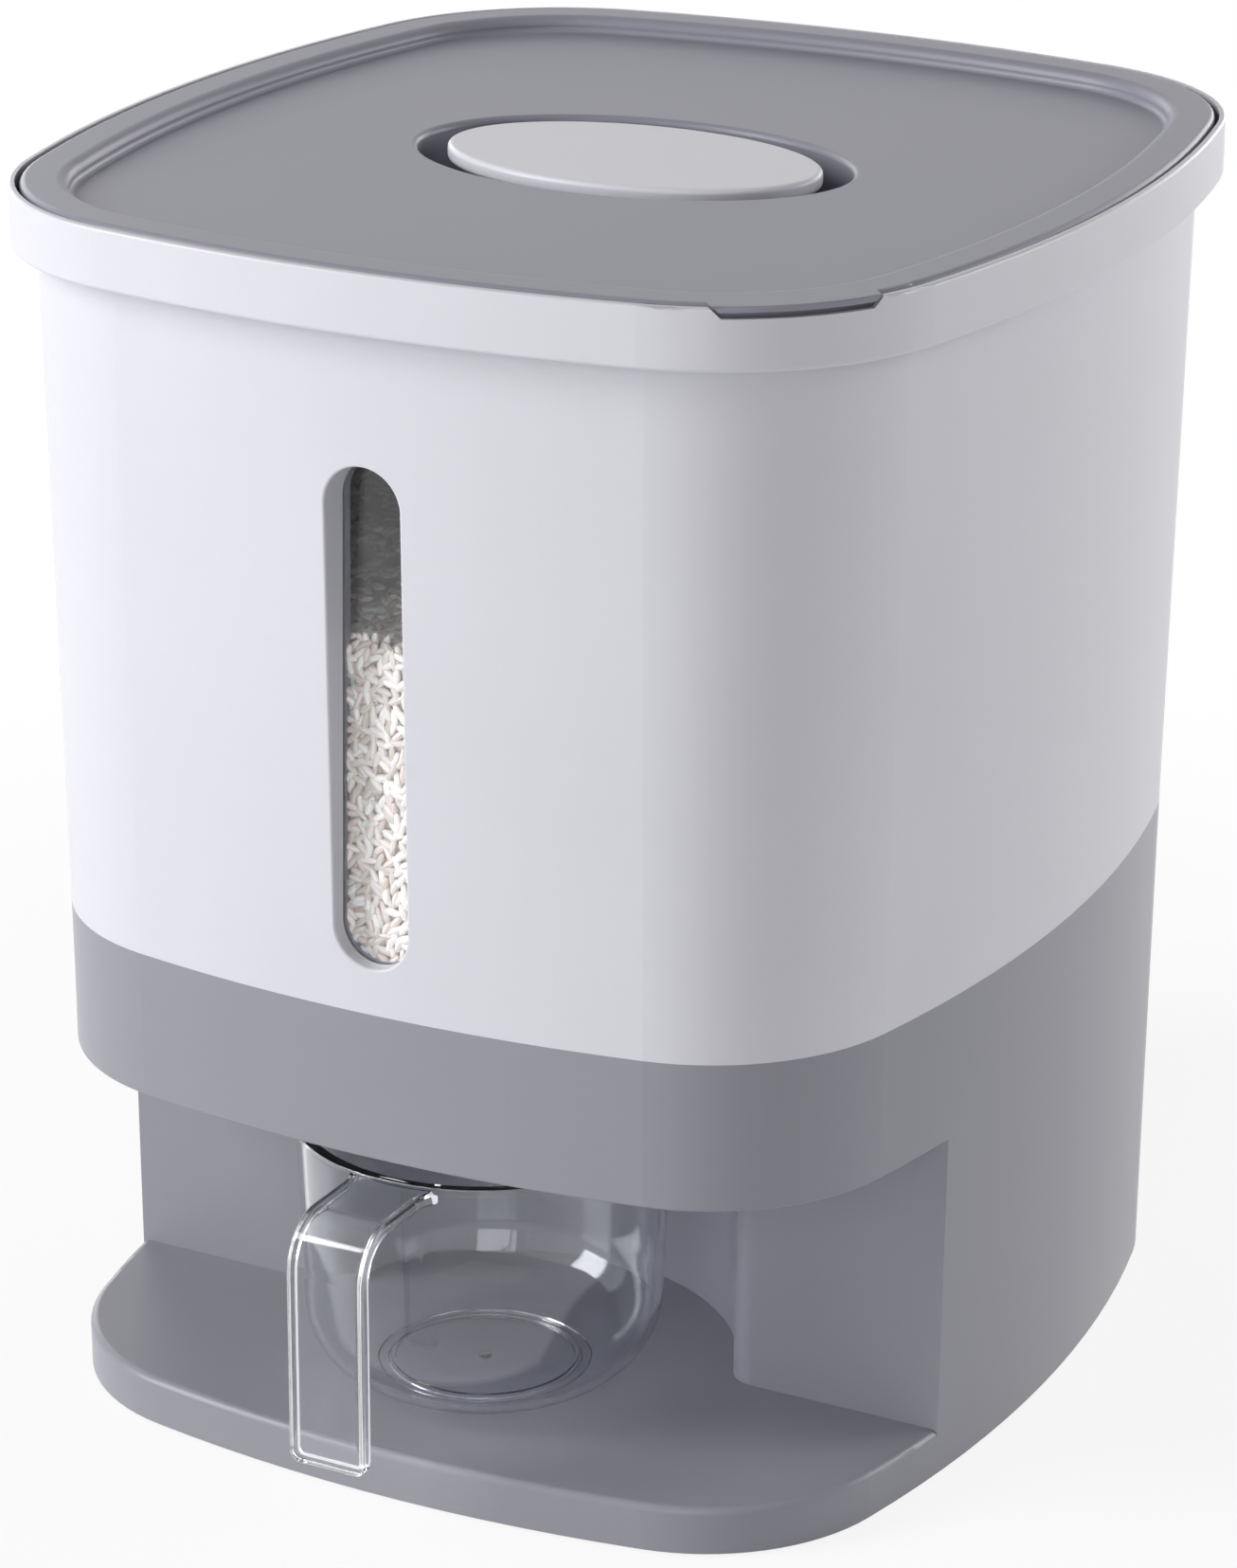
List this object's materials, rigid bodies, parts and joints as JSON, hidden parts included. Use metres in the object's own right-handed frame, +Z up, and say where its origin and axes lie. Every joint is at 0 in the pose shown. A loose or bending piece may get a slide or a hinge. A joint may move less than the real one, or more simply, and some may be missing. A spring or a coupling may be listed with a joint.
{
  "type": "rice dispenser",
  "caption": "Rounded-square rice dispenser: lidded white bucket with a slot window on a grey base whose open bay holds a clear cup that works a sliding gate.",
  "frame": {"origin": "centre of the base's underside, on the middle rubber foot's resting face, at the level of the surface the dispenser stands on", "axes": "+Z up through the lid; -Y out of the front, the way the cup is pulled out; +X to the user's right"},
  "size_m": [0.2748, 0.3135, 0.33],
  "materials": {
    "white_plastic": "satin moulded white ABS",
    "grey_plastic": "satin moulded grey ABS",
    "lid_plastic": "satin moulded grey ABS",
    "clear_plastic": "polished clear polystyrene",
    "seal_silicone": "soft translucent silicone",
    "foot_rubber": "matte rubber",
    "steel": "zinc plated",
    "spring_steel": "bright spring wire"
  },
  "bodies": {
    "base": {"base_shell": "grey_plastic", "base_bottom_cover": "grey_plastic", "bottom_cover_screws": "steel", "rubber_feet": "foot_rubber", "bucket_shell": "white_plastic", "bucket_fixing_screws": "steel", "hopper_funnel": "white_plastic", "outlet_seal": "seal_silicone", "window_pane": "clear_plastic", "window_gasket": "seal_silicone", "window_retainer": "grey_plastic", "gate_guide": "grey_plastic", "gate_guide_screws": "steel", "gate_springs": "spring_steel"},
    "lid": {"lid_top": "lid_plastic", "lid_seal": "seal_silicone", "lid_underplate": "lid_plastic", "lid_handle": "white_plastic", "lid_handle_screws": "steel"},
    "gate": {"gate_plate": "grey_plastic", "gate_pusher": "grey_plastic", "gate_pusher_screws": "steel"},
    "cup": {"measuring_cup": "clear_plastic"}
  },
  "joints": [
    {"name": "lid_lift", "type": "slide", "parent": "base", "child": "lid", "axis": [0, 0, 1], "range_m": [0, 0.15]},
    {"name": "cup_slide", "type": "slide", "parent": "base", "child": "cup", "axis": [0, -1, 0], "range_m": [0, 0.16]},
    {"name": "gate_slide", "type": "slide", "parent": "base", "child": "gate", "axis": [0, -1, 0], "range_m": [0, 0.0521], "deforming": ["gate_springs"]}
  ],
  "couplings": [
    {"joint": "gate_slide", "follows": "cup_slide", "ratio": 0.325}
  ]
}
